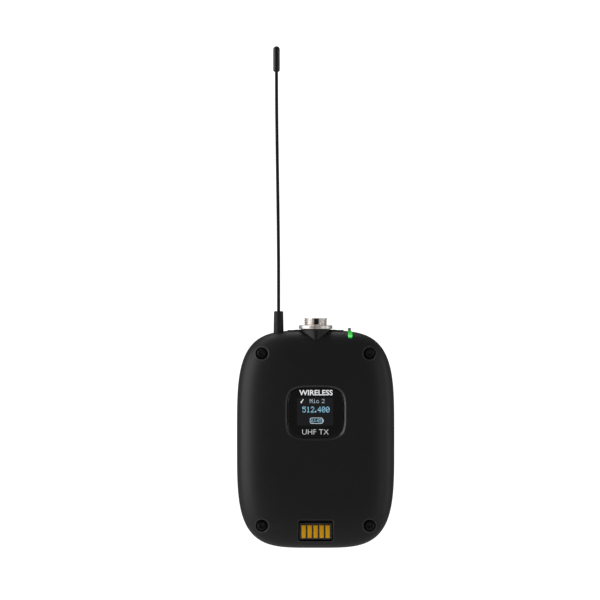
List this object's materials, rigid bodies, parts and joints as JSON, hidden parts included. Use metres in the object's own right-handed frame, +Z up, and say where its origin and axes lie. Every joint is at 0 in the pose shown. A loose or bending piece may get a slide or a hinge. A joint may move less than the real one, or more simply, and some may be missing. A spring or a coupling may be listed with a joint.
{
  "type": "wireless bodypack transmitter",
  "caption": "Rounded belt-worn radio microphone transmitter with a display window, threaded microphone socket, whip antenna, charging contacts and sprung belt clip.",
  "frame": {"origin": "centre of the raised flat land on the back that the belt lies against, at the housing's mid height", "axes": "+Z up along the antenna, -Y the way the display faces, +X to the right of a person who reads the display"},
  "size_m": [0.066, 0.0264, 0.2103],
  "materials": {
    "shell_plastic": "fine matte texture",
    "black_plastic": "satin",
    "black_glass": "polished",
    "rubber": "matte",
    "black_steel": "black finish, satin",
    "nickel": "nickel plated, machined",
    "steel": "satin",
    "brass": "machined",
    "gold": "gold plated",
    "board_green": "solder mask",
    "foil": "foil",
    "foam": "foam",
    "lead_red": "satin",
    "light_green": "clear moulding lit green",
    "infrared_lens": "polished"
  },
  "bodies": {
    "housing": {"front_shell": "shell_plastic", "rear_shell": "shell_plastic", "display_holder": "black_plastic", "battery_plug": "black_plastic", "contact_carrier": "black_plastic", "socket_insert": "black_plastic", "power_switch": "black_plastic", "menu_1_switch": "black_plastic", "menu_2_switch": "black_plastic", "display_window": "black_glass", "display_panel": "black_glass", "case_seal": "rubber", "window_seal": "rubber", "socket_seal": "rubber", "antenna_boot": "rubber", "antenna_whip": "rubber", "antenna_tip": "rubber", "case_screw_1": "black_steel", "case_screw_2": "black_steel", "case_screw_3": "black_steel", "case_screw_4": "black_steel", "clip_bracket": "black_steel", "bracket_screw_left": "black_steel", "bracket_screw_right": "black_steel", "socket_barrel": "nickel", "socket_nut": "nickel", "board_screw_1": "steel", "board_screw_2": "steel", "shield_can": "steel", "clip_pin": "steel", "clip_spring": "steel", "case_insert_1": "brass", "case_insert_2": "brass", "case_insert_3": "brass", "case_insert_4": "brass", "antenna_spring": "brass", "charge_contact_1": "gold", "charge_contact_2": "gold", "charge_contact_3": "gold", "charge_contact_4": "gold", "charge_contact_5": "gold", "socket_pin_1": "gold", "socket_pin_2": "gold", "socket_pin_3": "gold", "socket_pin_4": "gold", "main_board": "board_green", "battery_cell": "foil", "status_led": "foil", "battery_pad": "foam", "battery_lead": "lead_red", "light_pipe": "light_green", "infrared_window": "infrared_lens"},
    "power_button": {"power_button": "rubber", "power_plunger": "steel"},
    "menu_key_1": {"menu_key_1": "rubber", "menu_plunger_1": "steel"},
    "menu_key_2": {"menu_key_2": "rubber", "menu_plunger_2": "steel"},
    "belt_clip": {"belt_clip": "black_steel"}
  },
  "joints": [
    {"name": "power_press", "type": "slide", "parent": "housing", "child": "power_button", "axis": [0, 0, -1], "range_m": [0, 0.0005], "stiffness_N_per_m": 2000, "springref_m": -0.0004},
    {"name": "menu_press_1", "type": "slide", "parent": "housing", "child": "menu_key_1", "axis": [-1, 0, 0], "range_m": [0, 0.0005], "stiffness_N_per_m": 2000, "springref_m": -0.0004},
    {"name": "menu_press_2", "type": "slide", "parent": "housing", "child": "menu_key_2", "axis": [-1, 0, 0], "range_m": [0, 0.0005], "stiffness_N_per_m": 2000, "springref_m": -0.0004},
    {"name": "clip_open", "type": "hinge", "parent": "housing", "child": "belt_clip", "pos_m": [0, 0.0032, 0.024], "axis": [1, 0, 0], "range_deg": [0, 20], "stiffness_Nm_per_rad": 0.25, "springref_deg": -28.65, "deforming": ["clip_spring"]}
  ]
}
